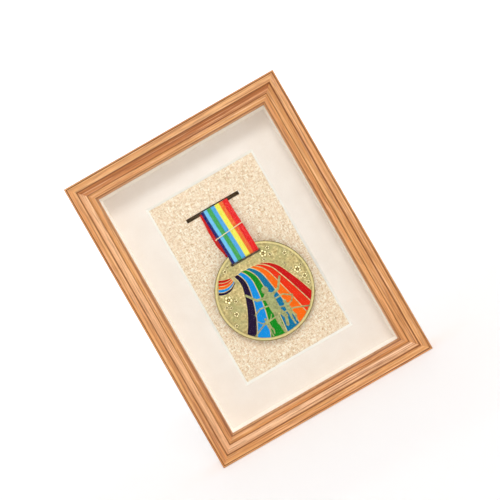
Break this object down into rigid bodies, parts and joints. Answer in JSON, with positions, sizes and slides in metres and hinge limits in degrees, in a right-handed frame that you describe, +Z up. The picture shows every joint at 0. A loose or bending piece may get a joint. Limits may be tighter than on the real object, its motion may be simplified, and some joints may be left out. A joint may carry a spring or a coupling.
{
  "type": "shadow-box medal display frame",
  "caption": "Mitred wooden shadow-box frame that shows a ribboned medal on a cloth board behind glazing, with a bevelled mat, an easel leg and a hanger.",
  "frame": {"origin": "centre of the bottom rail's underside, at mid-depth of the moulding", "axes": "+X to the right and +Z up as seen from the front, +Y towards the back; the front faces -Y"},
  "size_m": [0.15, 0.0392, 0.2],
  "materials": {
    "oak": "satin",
    "acrylic": "polished",
    "spacer_board": "matte",
    "mat_board": "matte",
    "cloth": "woven",
    "display_board": "matte",
    "ribbon": "woven satin",
    "thread": "twisted",
    "tape": "matte",
    "medal_gold": "antique",
    "enamel_purple": "gloss",
    "enamel_azure": "gloss",
    "enamel_green": "gloss",
    "enamel_teal": "gloss",
    "enamel_orange": "gloss",
    "enamel_vermilion": "gloss",
    "enamel_red": "gloss",
    "mdf": "smooth",
    "zinc": "zinc plated",
    "steel": "bright"
  },
  "bodies": {
    "frame": {"frame_rail_top": "oak", "frame_rail_bottom": "oak", "frame_stile_left": "oak", "frame_stile_right": "oak", "corner_v_nails": "steel", "front_glazing": "acrylic", "spacer_top": "spacer_board", "spacer_bottom": "spacer_board", "spacer_left": "spacer_board", "spacer_right": "spacer_board", "mat_board": "mat_board", "display_cloth": "cloth", "display_board": "display_board", "ribbon_front": "ribbon", "ribbon_rear": "ribbon", "ribbon_seam_stitches": "thread", "ribbon_tape": "tape", "ribbon_tie_thread": "thread", "back_panel": "mdf", "turn_button_screws": "steel", "easel_hinge_panel_leaf": "zinc", "easel_hinge_pin": "steel", "easel_panel_rivets": "steel", "hanger_strap": "zinc", "hanger_rivet": "steel"},
    "medal": {"medal_body": "medal_gold", "enamel_purple": "enamel_purple", "enamel_azure": "enamel_azure", "enamel_green": "enamel_green", "enamel_teal": "enamel_teal", "enamel_orange": "enamel_orange", "enamel_vermilion": "enamel_vermilion", "enamel_red": "enamel_red"},
    "easel": {"easel_leg": "mdf", "easel_hinge_leg_leaf": "zinc", "easel_leg_rivets": "steel"},
    "hanger_ring": {"hanger_ring": "zinc"},
    "turn_button_lower_left": {"turn_button_lower_left": "zinc"},
    "turn_button_upper_left": {"turn_button_upper_left": "zinc"},
    "turn_button_lower_right": {"turn_button_lower_right": "zinc"},
    "turn_button_upper_right": {"turn_button_upper_right": "zinc"}
  },
  "joints": [
    {"name": "medal_swing", "type": "hinge", "parent": "frame", "child": "medal", "pos_m": [0.0022, 0.00325, 0.1087], "axis": [-1, 0, 0], "range_deg": [-2, 4]},
    {"name": "easel_swing", "type": "hinge", "parent": "frame", "child": "easel", "pos_m": [0, 0.01915, 0.138], "axis": [1, 0, 0], "range_deg": [0, 28]},
    {"name": "hanger_ring_swing", "type": "hinge", "parent": "frame", "child": "hanger_ring", "pos_m": [0, 0.0195, 0.168], "axis": [1, 0, 0], "range_deg": [-4, 184]},
    {"name": "turn_button_lower_left_turn", "type": "hinge", "parent": "frame", "child": "turn_button_lower_left", "pos_m": [-0.0694, 0.01805, 0.048], "axis": [0, -1, 0], "continuous": true},
    {"name": "turn_button_upper_left_turn", "type": "hinge", "parent": "frame", "child": "turn_button_upper_left", "pos_m": [-0.0694, 0.01805, 0.152], "axis": [0, -1, 0], "continuous": true},
    {"name": "turn_button_lower_right_turn", "type": "hinge", "parent": "frame", "child": "turn_button_lower_right", "pos_m": [0.0694, 0.01805, 0.048], "axis": [0, 1, 0], "continuous": true},
    {"name": "turn_button_upper_right_turn", "type": "hinge", "parent": "frame", "child": "turn_button_upper_right", "pos_m": [0.0694, 0.01805, 0.152], "axis": [0, 1, 0], "continuous": true}
  ]
}
